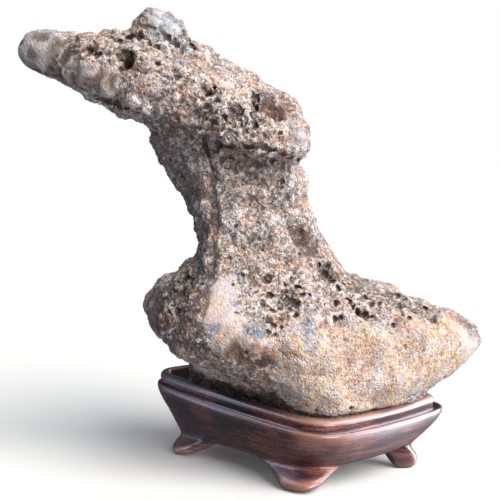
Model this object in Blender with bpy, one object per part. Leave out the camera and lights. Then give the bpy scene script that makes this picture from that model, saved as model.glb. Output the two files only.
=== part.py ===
"""A suiseki: one natural overhanging stone, seated in a carved hardwood stand (daiza) on four feet.

The numbers in the tables are millimetres, as seen from the front: X to the right, Y away, Z up.
The scene is in metres. The origin is under the middle of the whole object, on the surface it stands on.
"""

import math

import bmesh
import bpy
import numpy as np
from mathutils import Vector, noise

MM = 0.001

# The stand's outer rim seen from above, corner by corner: where it would be if it were sharp, its rounding,
# how far down the wall it keeps that rounding, how much nearer the lip comes to the rim there, and the bulge
# of the side after it.
RIM_CORNERS = (
    {"at": (-60, 49), "radius": 14, "keeps": 4, "lip_out": 3, "bulge": 2},  # left
    {"at": (33, -53), "radius": 26, "keeps": 12, "lip_out": 0, "bulge": 2},  # front
    {"at": (105, 9), "radius": 10, "keeps": 12, "lip_out": 0, "bulge": 3},  # right
    {"at": (16, 89), "radius": 30, "keeps": 12, "lip_out": 0, "bulge": 3},  # back
)
# The foot under each of those corners: how far it stands from the corner's middle along the rim, half of the
# width where it is full, half of the width where it runs out into the stand, and its share of the full kick
# outwards.
FEET = (
    {"shift": 16, "full": 6, "root": 15, "kick": 1.15},  # left
    {"shift": -14, "full": 6, "root": 29, "kick": 1.0},  # front
    {"shift": 4, "full": 3, "root": 14, "kick": 0.65},  # right
    {"shift": 0, "full": 6, "root": 24, "kick": 0.9},  # back
)
SMALLEST_RADIUS = 4
RIM_HEIGHT = 35.4
RIM_RISE_RIGHT = -0.020
RIM_RISE_BACK = 0.050
POINTS_PER_CORNER = 8
POINTS_PER_SIDE = 8

# The moulding on top, from the seat's floor out to the rim: distance in from the rim, height over it.
SEAT_FLOOR_HEIGHT = 26.0
SEAT_FLOOR_INSET = 14.0
SEAT_WALL_INSET = 10.8
SEAT_WALL_RISE = 2.2
LIP_HEIGHT = 6.0
LIP_FOOT_INSET = 5.2
LIP_PROFILE = (
    (9.6, 4.0), (8.9, 5.4), (7.6, LIP_HEIGHT), (6.2, 5.6), (5.0, 4.6), (4.4, 3.2), (5.0, 2.0),
    (LIP_FOOT_INSET, -0.9), (3.8, -2.0), (2.4, -0.9), (1.2, 0.3),
)
# The wall below the rim: distance in from the rim, share of the way down to the wall's foot.
WALL_PROFILE = ((0.1, 0.02), (0.1, 0.11), (1.4, 0.28), (3.8, 0.49), (6.6, 0.71), (9.4, 0.90))
WALL_FOOT_HEIGHT = 11.6
WALL_FOOT_RISE_RIGHT = 0.028
# The lower edge. Between feet: distance in from the rim, height over the wall's foot.
APRON_PROFILE = (
    (10.6, 1.0), (11.4, 0.3), (12.2, 0.0), (13.2, 0.0), (14.4, 0.0), (15.8, 0.0),
    (17.4, 0.0), (19.0, 0.1), (20.6, 0.2), (22.4, 0.3), (25.0, 0.5),
)
# The same at a foot's middle: distance in from the rim, share of the wall's foot's height over the floor.
FOOT_PROFILE = (
    (11.0, 0.93), (9.8, 0.80), (7.6, 0.65), (5.8, 0.48), (5.0, 0.29), (5.6, 0.12),
    (7.8, 0.0), (14.0, 0.0), (16.2, 0.12), (18.2, 0.47), (22.0, 1.02),
)

# The stone's foot and neck, sliced level: height, then corners left back, left front, front, nose and
# right back.
BODY_SLICES = (
    (26.4, (-16, 34), (2, 10), (28, -20), (62, -2), (30, 54)),
    (31.0, (-27, 38), (-2, 13), (31, -29), (74, -2), (31, 61)),
    (37.0, (-32, 42), (-5, 16), (33, -34), (82, -1), (33, 64)),
    (44.0, (-33, 41), (-10, 14), (33, -39), (92, 0), (36, 66)),
    (52.0, (-29, 38), (-19, 2), (33, -42), (103, 0), (39, 67)),
    (60.0, (-30, 35), (-26, -13), (33, -43), (112, 1), (43, 68)),
    (68.0, (-38, 31), (-30, -28), (34, -43), (119, 2), (46, 66)),
    (76.0, (-50, 28), (-30, -33), (35, -42), (116, 3), (46, 62)),
    (84.0, (-55, 27), (-27, -34), (35, -39), (104, 4), (45, 57)),
    (91.0, (-53, 24), (-24, -32), (33, -35), (84, 6), (43, 50)),
    (97.5, (-47, 20), (-21, -28), (29, -29), (60, 8), (38, 41)),
    (104.0, (-38, 16), (-18, -24), (27, -22), (48, 8), (32, 33)),
    (112.0, (-26, 12), (-17, -22), (25, -18), (40, 6), (25, 27)),
    (122.0, (-24, 10), (-17, -21), (21, -17), (35, 4), (20, 24)),
    (134.0, (-29, 10), (-18, -21), (19, -17), (30, 2), (16, 23)),
    (146.0, (-35, 9), (-20, -21), (18, -17), (28, 0), (14, 22)),
    (158.0, (-42, 8), (-22, -22), (15, -18), (26, 0), (12, 22)),
    (170.0, (-50, 8), (-24, -22), (12, -18), (25, 0), (8, 22)),
    (182.0, (-50, 6), (-30, -18), (2, -14), (16, 0), (0, 18)),
)
# The head, sliced upright from its tip to its back: x, then (y, z) of ridge, brow, ledge, underside, back.
HEAD_SLICES = (
    (-114.0, (0, 217), (-4, 214), (-3, 211), (3, 211), (4, 214)),
    (-110.0, (0, 223), (-8, 216), (-6, 207), (5, 207), (8, 215)),
    (-101.0, (0, 225), (-11, 216), (-8, 203), (6, 202), (11, 214)),
    (-90.0, (0, 225), (-12, 214), (-10, 199), (8, 197), (13, 212)),
    (-80.0, (1, 225), (-15, 213), (-13, 195), (9, 191), (15, 210)),
    (-70.0, (2, 225), (-19, 211), (-17, 190), (10, 187), (18, 208)),
    (-60.0, (3, 224), (-23, 209), (-22, 188), (12, 182), (20, 206)),
    (-50.0, (4, 223), (-27, 206), (-26, 184), (12, 177), (22, 203)),
    (-38.0, (4, 220), (-30, 203), (-29, 181), (12, 172), (24, 199)),
    (-25.0, (4, 218), (-31, 199), (-31, 175), (13, 167), (25, 194)),
    (-12.0, (4, 212), (-31, 193), (-34, 168), (13, 162), (25, 188)),
    (0.0, (4, 203), (-30, 188), (-35, 166), (13, 160), (25, 184)),
    (12.0, (3, 198), (-28, 184), (-34, 165), (12, 160), (23, 181)),
    (22.0, (3, 192), (-22, 179), (-27, 163), (10, 160), (19, 177)),
    (28.5, (1, 184), (-12, 175), (-14, 164), (6, 163), (11, 173)),
)
# The peak on the head, sliced level: height, then corners left, front, right, back.
PEAK_SLICES = (
    (212.0, (-66, 0), (-46, -22), (-25, 0), (-44, 18)),
    (222.0, (-65, 0), (-47, -17), (-30, 0), (-45, 15)),
    (230.0, (-60, 0), (-47, -12), (-35, 0), (-45, 11)),
    (234.8, (-52, 0), (-47, -5), (-39, 0), (-46, 5)),
)
STONE_SLICE_POINTS = 40
STONE_VOXEL = 2.0
STONE_BLEND_STEPS = 3
STONE_TRIANGLES = 6050

# Lumps over the whole stone: size across, height.
LUMPS = ((34.0, 3.2), (14.0, 3.4), (7.5, 2.2))
LUMP_SEED = 6
# Smooth places, where the lumps fade: centre, radius.
SMOOTH_PLACES = (
    ((-104, 0, 214), 16),
    ((-50, 16, 80), 16),
    ((-20, -30, 88), 20),
    ((105, -8, 66), 30),
)
# Pits: mouth's centre, radius, depth.
PITS = (
    ((-60, -24, 208), 6.0, 9.0),
    ((-77, -17, 213), 4.0, 5.0),
    ((-45, -28, 207), 3.6, 4.5),
    ((-19, -30, 192), 5.4, 6.5),
    ((-11, -32, 181), 4.6, 6.5),
    ((-24, -30, 181), 4.2, 5.0),
    ((9, -26, 184), 9.5, 8.0),
    ((2, -31, 177), 4.6, 5.5),
    ((24, -9, 124), 7.5, 3.6),
    ((38, -9, 105), 6.0, 6.5),
    ((54, -24, 86), 5.0, 5.5),
    ((72, -12, 92), 4.6, 5.0),
    ((90, -10, 84), 4.2, 4.5),
    ((44, -34, 85), 4.4, 4.0),
    ((13, -38, 84), 3.8, 3.5),
    ((30, 30, 150), 7.0, 5.5),
    ((-20, 30, 196), 7.0, 6.0),
    ((10, 52, 74), 7.0, 6.0),
    ((-8, 26, 120), 6.0, 4.5),
    ((60, 44, 84), 6.0, 5.0),
)
# Shares of a pit's radius: its floor's edge, and where its wall has run out into the skin.
PIT_FLOOR = 0.3
PIT_RIM = 1.15
# The crack down the neck's lit corner: points on it, half width, depth.
CRACK_ROUTE = (
    (-24, -24, 182), (-22, -23, 168), (-19, -22, 152), (-18, -22, 138), (-18, -22, 122), (-19, -24, 108),
)
CRACK_HALF_WIDTH = 2.2
CRACK_DEPTH = 2.6
FLOOR_GAP = 0.35
SIDE_GAP = 0.8

COLOURS = {
    "stone": ((0.52, 0.43, 0.36, 1), 0.9),
    "daiza": ((0.12, 0.05, 0.035, 1), 0.4),
}


def clear_scene():
    for obj in list(bpy.data.objects):
        bpy.data.objects.remove(obj)


def smooth_loop(corners, count, tension=0.38):
    """A closed cardinal curve through the corners, as count points."""
    corners = np.asarray(corners, float)
    number = len(corners)
    places = np.arange(count) * number / count
    start = places.astype(int)
    t = (places - start)[:, None]
    before, here, after, beyond = (corners[(start + k) % number] for k in (-1, 0, 1, 2))
    leave = (after - before) * tension
    arrive = (beyond - here) * tension
    return (
        here * (2 * t**3 - 3 * t**2 + 1)
        + leave * (t**3 - 2 * t**2 + t)
        + after * (-2 * t**3 + 3 * t**2)
        + arrive * (t**3 - t**2)
    )


def ease(value):
    """0 below 0, 1 above 1, and a smooth step between."""
    value = np.clip(value, 0, 1)
    return value * value * (3 - 2 * value)


def unit(vector):
    return vector / np.linalg.norm(vector)


def loft(mesh, rings):
    """Adds the closed skin over rings of equal length to a bmesh, with a fan over each end."""
    loops = [[mesh.verts.new(point) for point in ring] for ring in rings]
    count = len(loops[0])
    for lower, upper in zip(loops, loops[1:]):
        for i in range(count):
            j = (i + 1) % count
            mesh.faces.new((lower[i], lower[j], upper[j], upper[i]))
    for loop, ring, flip in ((loops[0], rings[0], True), (loops[-1], rings[-1], False)):
        middle = mesh.verts.new(np.mean(ring, axis=0))
        for i in range(count):
            j = (i + 1) % count
            corners = (loop[i], loop[j], middle)
            mesh.faces.new(corners[::-1] if flip else corners)


def material(name):
    colour, roughness = COLOURS[name]
    made = bpy.data.materials.new(name)
    made.use_nodes = True
    shader = made.node_tree.nodes["Principled BSDF"]
    shader.inputs["Base Color"].default_value = colour
    shader.inputs["Roughness"].default_value = roughness
    shader.inputs["Metallic"].default_value = 0.0
    made.diffuse_color = colour
    return made


def new_object(name, mesh):
    obj = bpy.data.objects.new(name, mesh)
    bpy.context.scene.collection.objects.link(obj)
    obj.data.materials.append(material(name))
    return obj


def evaluated_mesh(obj):
    """The object's mesh with its modifiers applied, in place of the old one."""
    graph = bpy.context.evaluated_depsgraph_get()
    made = bpy.data.meshes.new_from_object(obj.evaluated_get(graph))
    obj.modifiers.clear()
    obj.data = made
    return made


def coordinates(mesh):
    flat = np.empty(len(mesh.vertices) * 3)
    mesh.vertices.foreach_get("co", flat)
    return flat.reshape(-1, 3)


def vertex_normals(mesh):
    return np.array([vertex.normal for vertex in mesh.vertices])


def set_coordinates(mesh, points):
    mesh.vertices.foreach_set("co", np.asarray(points, float).ravel())
    mesh.update()


def body_rings():
    for height, *corners in BODY_SLICES:
        plan = smooth_loop(corners, STONE_SLICE_POINTS)
        yield np.column_stack([plan, np.full(len(plan), height)])


def head_rings():
    for x, *corners in HEAD_SLICES:
        outline = smooth_loop(corners, STONE_SLICE_POINTS)
        yield np.column_stack([np.full(len(outline), x), outline])


def peak_rings():
    for height, *corners in PEAK_SLICES:
        plan = smooth_loop(corners, STONE_SLICE_POINTS)
        yield np.column_stack([plan, np.full(len(plan), height)])


def blended_stone():
    """Foot, neck, head and peak fused into one even skin, in millimetres."""
    shells = bmesh.new()
    for rings in (body_rings(), head_rings(), peak_rings()):
        loft(shells, list(rings))
    bmesh.ops.recalc_face_normals(shells, faces=shells.faces)
    mesh = bpy.data.meshes.new("stone")
    shells.to_mesh(mesh)
    shells.free()
    stone = new_object("stone", mesh)
    fuse = stone.modifiers.new("fuse", "REMESH")
    fuse.mode = "VOXEL"
    fuse.voxel_size = STONE_VOXEL
    relax = stone.modifiers.new("relax", "SMOOTH")
    relax.factor = 0.5
    relax.iterations = STONE_BLEND_STEPS
    evaluated_mesh(stone)
    return stone


def roughness_at(points):
    """1 where the stone is lumpy, falling to 0.15 at the middle of each smooth place."""
    rough = np.ones(len(points))
    for centre, radius in SMOOTH_PLACES:
        distance = np.linalg.norm(points - centre, axis=1) / radius
        rough = np.minimum(rough, 0.15 + 0.85 * ease(distance - 0.4))
    return rough


def lump_height(points, across):
    """Rounded knobs with sharp valleys between them, from about -0.5 to 0.5."""
    warp = 0.35
    heights = []
    for point in points:
        place = Vector(point) / across
        place = place + warp * noise.noise_vector(place * 1.3)
        nearest = noise.voronoi(place)[0]
        knob = 1.0 - min(1.0, nearest[0] * 1.25) ** 2
        heights.append(knob - 0.5 + 0.3 * noise.noise(place * 0.6))
    return np.array(heights)


def add_lumps(stone):
    noise.seed_set(LUMP_SEED)
    points = coordinates(stone.data)
    for across, height in LUMPS:
        rough = roughness_at(points)
        lift = height * rough * lump_height(points, across)
        points = points + vertex_normals(stone.data) * lift[:, None]
        set_coordinates(stone.data, points)


def add_pits(stone):
    """Presses each pit straight in at the place on the skin nearest to its centre."""
    for centre, radius, depth in PITS:
        points = coordinates(stone.data)
        nearest = int(np.argmin(np.linalg.norm(points - centre, axis=1)))
        close = np.linalg.norm(points - points[nearest], axis=1) < radius
        inward = -unit(vertex_normals(stone.data)[close].sum(axis=0))
        away = np.linalg.norm(points - points[nearest], axis=1) / radius
        amount = depth * (1 - ease((away - PIT_FLOOR) / (PIT_RIM - PIT_FLOOR)))
        set_coordinates(stone.data, points + inward * amount[:, None])


def distance_to_route(points, route):
    best = np.full(len(points), np.inf)
    for start, end in zip(np.array(route[:-1], float), np.array(route[1:], float)):
        run = end - start
        share = np.clip((points - start) @ run / (run @ run), 0, 1)
        best = np.minimum(best, np.linalg.norm(points - start - share[:, None] * run, axis=1))
    return best


def add_crack(stone):
    points = coordinates(stone.data)
    distance = distance_to_route(points, CRACK_ROUTE)
    amount = CRACK_DEPTH * (1 - ease(distance / CRACK_HALF_WIDTH / 2))
    set_coordinates(stone.data, points - vertex_normals(stone.data) * amount[:, None])


def keep_clear_of_seat(stone):
    """Holds the stone's underside just over the seat's floor and inside the seat's wall and lip."""
    points = coordinates(stone.data)
    points[:, 2] = np.maximum(points[:, 2], SEAT_FLOOR_HEIGHT + FLOOR_GAP)
    lip_top = rim_height_at(points[:, :2]) + LIP_HEIGHT + SIDE_GAP
    seat_corner_top = SEAT_FLOOR_HEIGHT + SEAT_WALL_RISE + SIDE_GAP
    for inset, top in ((SEAT_WALL_INSET, lip_top), (SEAT_FLOOR_INSET, seat_corner_top)):
        inner = rim_plan(inset + SIDE_GAP)
        centre = inner.mean(axis=0)
        angles = np.arctan2(inner[:, 1] - centre[1], inner[:, 0] - centre[0])
        plan = points[:, :2] - centre
        bearing = np.arctan2(plan[:, 1], plan[:, 0])
        allowed = np.interp(bearing, angles, np.linalg.norm(inner - centre, axis=1), period=2 * math.pi)
        distance = np.linalg.norm(plan, axis=1)
        low = (points[:, 2] < top) & (distance > allowed)
        points[low, :2] = centre + plan[low] * (allowed[low] / distance[low])[:, None]
    set_coordinates(stone.data, points)


def build_stone():
    stone = blended_stone()
    add_lumps(stone)
    add_pits(stone)
    add_crack(stone)
    keep_clear_of_seat(stone)
    thin = stone.modifiers.new("thin", "DECIMATE")
    thin.use_collapse_triangulate = True
    thin.ratio = STONE_TRIANGLES / (2 * len(stone.data.polygons))
    evaluated_mesh(stone)
    return stone


def rim_corner(index, inset, below):
    """One corner of the rim moved in by inset: its sharp point, both directions away from it, its radius."""
    corners = [np.array(corner["at"], float) for corner in RIM_CORNERS]
    corner = corners[index]
    back, ahead = unit(corners[index - 1] - corner), unit(corners[(index + 1) % len(corners)] - corner)
    half_angle = math.acos(float(back @ ahead)) / 2
    moved = corner + unit(back + ahead) * inset / math.sin(half_angle)
    if not below:
        moved -= unit(back + ahead) * RIM_CORNERS[index]["lip_out"] * min(1, inset / LIP_FOOT_INSET)
    kept = RIM_CORNERS[index]["keeps"] if below else 0
    radius = RIM_CORNERS[index]["radius"] - max(inset - kept, 0)
    return moved, back, ahead, max(radius, SMALLEST_RADIUS), half_angle


def rim_plan(inset=0.0, below=False):
    """The rim's edge seen from above, moved in by inset: arcs at the corners, joined by bulging sides.

    Below the rim the corners keep their rounding for a while, and get tighter from there."""
    points = []
    for i, facts in enumerate(RIM_CORNERS):
        corner, back, ahead, radius, half_angle = rim_corner(i, inset, below)
        centre = corner + unit(back + ahead) * radius / math.sin(half_angle)
        tangent = radius / math.tan(half_angle)
        start, end = corner + back * tangent - centre, corner + ahead * tangent - centre
        sweep = math.pi - 2 * half_angle
        for share in np.linspace(0, 1, POINTS_PER_CORNER):
            turned = start * math.sin((1 - share) * sweep) + end * math.sin(share * sweep)
            points.append(centre + turned / math.sin(sweep))
        follower = rim_corner((i + 1) % len(RIM_CORNERS), inset, below)
        side_start = centre + end
        side_end = follower[0] + follower[1] * follower[3] / math.tan(follower[4])
        outward = np.array([ahead[1], -ahead[0]])
        for k in range(1, POINTS_PER_SIDE + 1):
            share = (1 - math.cos(math.pi * k / (POINTS_PER_SIDE + 1))) / 2
            bulge = facts["bulge"] * 4 * share * (1 - share)
            points.append(side_start + (side_end - side_start) * share + outward * bulge)
    return np.array(points)


def foot_shares():
    """For each point of the rim, how far its foot reaches down and out: 0 between the feet, 1 in full."""
    plan = rim_plan()
    steps = np.linalg.norm(np.roll(plan, -1, axis=0) - plan, axis=1)
    along = np.concatenate([[0], np.cumsum(steps)[:-1]])
    length = steps.sum()
    down, out = np.zeros(len(plan)), np.zeros(len(plan))
    for i, foot in enumerate(FEET):
        first = i * (POINTS_PER_CORNER + POINTS_PER_SIDE)
        middle = (along[first] + along[first + POINTS_PER_CORNER - 1]) / 2 + foot["shift"]
        distance = np.abs(along - middle)
        distance = np.minimum(distance, length - distance)
        reach = (distance - foot["full"]) / (foot["root"] - foot["full"])
        share = 1 - ease(reach)
        down = np.maximum(down, share)
        out = np.maximum(out, share * foot["kick"])
    return down, out


def rim_height_at(plan):
    return RIM_HEIGHT + RIM_RISE_RIGHT * plan[:, 0] + RIM_RISE_BACK * plan[:, 1]


def daiza_rings():
    """The stand's skin as closed rings, from the middle of the seat over the lip and down to the underside.

    At a foot the rings of the lower edge bulge down and out to the foot's own profile."""
    rim = rim_height_at(rim_plan())
    wall_foot = WALL_FOOT_HEIGHT + WALL_FOOT_RISE_RIGHT * rim_plan()[:, 0]
    down, out = foot_shares()

    def ring(inset, height, below=False):
        plan = rim_plan(inset, below)
        return np.column_stack([plan, np.broadcast_to(height, len(plan))])

    yield ring(34.0, SEAT_FLOOR_HEIGHT)
    yield ring(SEAT_FLOOR_INSET, SEAT_FLOOR_HEIGHT)
    yield ring(SEAT_WALL_INSET, SEAT_FLOOR_HEIGHT + SEAT_WALL_RISE)
    for inset, over in LIP_PROFILE:
        yield ring(inset, rim + over)
    for inset, share in WALL_PROFILE:
        yield ring(inset, rim + (wall_foot - rim) * share, below=True)
    for (apron_inset, over), (foot_inset, share) in zip(APRON_PROFILE, FOOT_PROFILE):
        apron, tongue = rim_plan(apron_inset, below=True), rim_plan(foot_inset, below=True)
        plan = apron + (tongue - apron) * out[:, None]
        height = wall_foot + over + (wall_foot * (share - 1) - over) * down
        yield np.column_stack([plan, height])
    yield ring(36.0, wall_foot + 0.8)


def build_daiza():
    skin = bmesh.new()
    loft(skin, list(daiza_rings()))
    bmesh.ops.recalc_face_normals(skin, faces=skin.faces)
    mesh = bpy.data.meshes.new("daiza")
    skin.to_mesh(mesh)
    skin.free()
    return new_object("daiza", mesh)


def centre_on_floor(objects):
    """Turns millimetres to metres and brings the middle of the whole object over the origin."""
    everything = np.vstack([coordinates(obj.data) for obj in objects])
    low, high = everything.min(axis=0), everything.max(axis=0)
    origin = np.array([(low[0] + high[0]) / 2, (low[1] + high[1]) / 2, low[2]])
    for obj in objects:
        set_coordinates(obj.data, (coordinates(obj.data) - origin) * MM)
    return origin


def main():
    clear_scene()
    stone = build_stone()
    daiza = build_daiza()
    origin = centre_on_floor([stone, daiza])
    stone.data.shade_smooth()
    daiza.data.shade_smooth()
    daiza.data.set_sharp_from_angle(angle=math.radians(50))
    return origin


if __name__ == "__main__":
    main()
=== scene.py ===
"""A suiseki's looks: the weathered skin of the stone, the oiled wood of its stand, and a plain studio."""

import math

import bpy
import numpy as np
from bpy.props import FloatProperty, FloatVectorProperty, IntProperty, PointerProperty
from mathutils import Euler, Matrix, Vector, kdtree, noise
from mathutils.bvhtree import BVHTree


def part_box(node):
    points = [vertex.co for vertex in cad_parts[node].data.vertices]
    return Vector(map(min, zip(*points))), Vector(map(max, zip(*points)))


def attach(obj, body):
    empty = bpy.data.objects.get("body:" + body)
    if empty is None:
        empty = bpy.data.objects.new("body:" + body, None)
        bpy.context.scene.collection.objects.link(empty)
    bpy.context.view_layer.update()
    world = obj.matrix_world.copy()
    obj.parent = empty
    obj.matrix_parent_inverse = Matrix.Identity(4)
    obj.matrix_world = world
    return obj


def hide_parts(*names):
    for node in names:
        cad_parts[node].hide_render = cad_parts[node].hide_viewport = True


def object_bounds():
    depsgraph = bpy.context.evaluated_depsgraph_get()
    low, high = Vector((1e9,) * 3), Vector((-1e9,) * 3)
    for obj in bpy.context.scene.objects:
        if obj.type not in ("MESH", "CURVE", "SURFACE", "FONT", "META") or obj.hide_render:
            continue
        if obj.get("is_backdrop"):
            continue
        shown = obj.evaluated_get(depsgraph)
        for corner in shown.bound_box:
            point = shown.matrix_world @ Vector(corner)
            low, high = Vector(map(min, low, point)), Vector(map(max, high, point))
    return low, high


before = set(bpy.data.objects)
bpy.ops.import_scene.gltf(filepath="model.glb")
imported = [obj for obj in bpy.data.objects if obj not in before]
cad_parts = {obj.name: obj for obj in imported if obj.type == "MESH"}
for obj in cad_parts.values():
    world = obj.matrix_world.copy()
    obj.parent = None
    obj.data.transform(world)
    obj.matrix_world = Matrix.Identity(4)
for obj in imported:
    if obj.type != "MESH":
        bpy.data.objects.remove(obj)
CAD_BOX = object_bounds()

bl_info = {
    "name": "Suiseki",
    "version": (1, 0, 0),
    "blender": (4, 5, 0),
    "location": "View3D > Sidebar > Suiseki",
    "description": "Weathers the stone, finishes its carved stand and sets up a plain studio",
    "category": "Object",
}

MM = 0.001
NOISE_SEED = 3
PIT_SEED = 7

# The front view. Its measures start on the floor, under the middle of the view, here in the frame.
VIEW_ORIGIN = Vector((-2.050, -17.924, 0.0)) * MM
EYE = VIEW_ORIGIN + Vector((0, -500, 160)) * MM
EYE_PITCH = math.radians(5.1)
EYE_TURN = Euler((math.radians(90) - EYE_PITCH, 0, 0))
PHOTO_SIDE = 500
PHOTO_FOCUS = 1000
SENSOR = 36.0

# What follows gives places on the stone as pixels of the photograph, 500 across, and sizes in millimetres.
# Pits seen from the front: pixel across, pixel down, radius, depth.
FRONT_PITS = (
    (96, 54, 2.6, 5.0), (90, 51, 2.0, 2.4), (127, 65, 3.8, 3.6), (133, 57, 3.2, 3.0),
    (123, 70, 2.2, 2.4), (157, 64, 1.7, 3.0), (108, 54, 2.0, 1.8), (109, 60, 1.4, 1.6),
    (116, 39, 1.5, 2.4), (121, 41, 1.4, 2.4), (128, 38, 2.0, 3.8), (140, 37, 2.2, 4.0),
    (149, 43, 1.6, 2.4), (134, 36, 1.3, 2.4), (156, 46, 1.4, 2.0), (168, 37, 2.0, 3.2),
    (189, 40, 1.7, 3.2), (192, 45, 1.6, 3.0), (178, 46, 1.2, 2.0), (173, 71, 1.6, 1.6),
    (177, 77, 1.7, 1.6), (104, 98, 1.8, 2.4), (110, 100, 2.0, 3.0), (118, 103, 2.2, 3.0),
    (127, 108, 1.8, 2.4), (137, 112, 2.0, 3.0), (184, 105, 2.6, 1.6), (215, 88, 1.5, 3.0),
    (209, 95, 2.2, 3.0), (206, 106, 1.5, 3.0), (203, 117, 2.0, 2.6), (212, 122, 1.5, 3.0),
    (227, 118, 2.0, 5.0), (224, 104, 1.0, 1.8), (243, 112, 1.5, 2.0), (247, 118, 1.3, 1.8),
    (257, 98, 2.2, 4.0), (256, 108, 2.0, 4.0), (268, 103, 4.6, 1.6), (276, 113, 4.2, 1.4),
    (256, 124, 1.8, 4.0), (281, 133, 1.3, 1.8), (235, 133, 1.1, 2.0), (265, 136, 1.0, 1.8),
    (247, 131, 1.0, 2.0), (262, 127, 1.0, 2.0), (220, 143, 2.4, 3.6), (231, 147, 2.0, 3.0),
    (289, 159, 2.4, 2.8), (246, 156, 2.2, 2.8), (222, 160, 2.2, 2.6), (259, 157, 2.4, 2.8),
    (274, 160, 2.2, 2.6), (298, 160, 1.6, 2.2), (230, 157, 2.0, 2.4), (176, 118, 2.2, 2.0),
    (282, 181, 1.7, 2.0), (281, 195, 1.6, 1.8), (243, 275, 1.2, 2.0), (248, 270, 1.1, 1.8),
    (233, 285, 1.2, 1.8), (266, 279, 2.2, 1.8), (270, 295, 1.6, 2.6), (284, 286, 1.2, 2.2),
    (283, 293, 1.2, 2.2), (297, 287, 1.8, 3.0), (304, 283, 1.4, 2.6), (303, 293, 1.4, 2.6),
    (310, 295, 1.5, 2.8), (292, 301, 1.7, 3.0), (296, 304, 1.3, 2.6), (290, 310, 1.6, 2.8),
    (296, 316, 2.0, 4.2), (272, 311, 1.4, 3.0), (280, 310, 1.5, 3.0), (262, 305, 1.2, 2.2),
    (263, 318, 1.1, 2.0), (275, 325, 2.0, 3.6), (270, 322, 1.2, 2.4), (281, 328, 1.2, 2.4),
    (268, 332, 1.5, 2.2), (275, 335, 1.3, 2.0), (236, 313, 1.0, 1.8), (247, 304, 1.1, 1.6),
    (320, 267, 2.0, 3.2), (325, 274, 2.4, 3.6), (331, 281, 2.6, 3.6), (338, 288, 2.0, 3.0),
    (344, 284, 1.4, 2.4), (328, 266, 1.4, 2.6), (319, 277, 1.3, 2.0), (337, 304, 1.7, 3.2),
    (334, 320, 2.3, 4.0), (341, 318, 1.6, 3.4), (349, 300, 1.3, 3.4), (353, 308, 2.0, 3.8),
    (358, 312, 1.5, 3.4), (364, 315, 1.9, 3.6), (372, 317, 1.5, 3.0), (366, 298, 1.6, 2.6),
    (386, 297, 2.6, 3.0), (397, 295, 1.7, 3.0), (380, 303, 1.2, 2.0), (426, 308, 2.0, 3.8),
    (410, 318, 1.7, 3.2), (403, 315, 1.0, 2.0), (393, 326, 1.5, 2.6), (165, 300, 2.2, 1.8),
    (178, 312, 2.4, 2.0), (187, 296, 1.8, 1.6), (262, 362, 3.8, 1.6), (214, 358, 2.4, 1.2),
    (300, 255, 1.8, 2.0), (298, 233, 3.4, 1.6), (238, 384, 2.2, 1.4), (222, 372, 2.0, 1.2),
    (351, 408, 1.3, 2.4), (345, 340, 1.4, 1.6), (405, 348, 1.5, 1.2), (424, 350, 1.2, 1.0),
    (236, 226, 1.3, 2.0), (250, 205, 1.2, 1.6), (262, 250, 1.3, 1.8), (230, 258, 1.4, 1.8),
    (243, 180, 1.2, 1.8), (170, 160, 1.6, 2.0), (182, 176, 1.4, 2.0), (192, 150, 1.5, 2.0),
    (200, 190, 1.2, 1.8),
)
# Blocks and pebbles that stand out, with a gap round each: pixel across, pixel down, radius, height.
FRONT_BLOCKS = (
    (134, 103, 4.4, 0.9), (148, 109, 3.6, 0.8), (158, 115, 2.6, 0.9), (116, 31, 3.0, 1.0),
    (126, 32, 2.4, 0.8), (142, 31, 3.0, 1.0), (150, 38, 2.2, 0.9), (160, 44, 3.0, 0.8),
    (180, 42, 2.8, 0.9), (172, 48, 2.2, 1.0), (146, 60, 2.8, 1.1), (163, 62, 2.4, 1.0),
    (183, 72, 3.0, 1.0), (130, 79, 3.2, 0.8), (100, 45, 2.8, 0.9), (84, 45, 2.6, 0.9),
    (209, 86, 2.8, 1.4), (222, 94, 2.6, 1.2), (198, 104, 2.6, 1.2), (215, 105, 2.4, 1.3),
    (243, 100, 3.2, 1.1), (218, 114, 1.9, 1.2), (236, 122, 2.2, 1.3), (228, 127, 2.4, 1.2),
    (245, 126, 2.2, 1.1), (260, 129, 2.4, 1.2), (272, 138, 2.4, 1.2), (255, 140, 2.4, 1.1),
    (240, 138, 2.2, 1.1), (222, 134, 2.0, 1.1), (262, 119, 1.7, 1.6), (292, 112, 3.4, 1.2),
    (288, 98, 3.0, 1.0), (299, 132, 4.6, 1.0), (303, 147, 3.4, 1.0), (198, 132, 2.4, 1.2),
    (221, 150, 2.2, 1.2), (205, 150, 1.8, 0.8), (100, 103, 2.2, 1.0), (168, 110, 2.4, 1.0),
    (176, 96, 2.8, 0.9), (150, 90, 3.2, 0.8), (250, 220, 3.6, 0.8), (262, 190, 3.0, 0.8),
    (240, 240, 3.6, 0.8), (275, 235, 3.4, 0.8), (312, 262, 2.6, 1.0), (290, 268, 3.0, 0.9),
    (282, 300, 3.0, 0.9), (300, 300, 2.4, 1.0), (322, 300, 2.8, 1.0), (312, 318, 2.6, 0.9),
    (345, 290, 3.0, 1.0), (380, 288, 3.4, 0.8), (410, 305, 3.0, 0.9), (440, 316, 3.6, 0.8),
    (160, 320, 5.0, 0.9), (176, 290, 4.6, 0.9), (196, 318, 3.6, 0.8),
)
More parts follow.
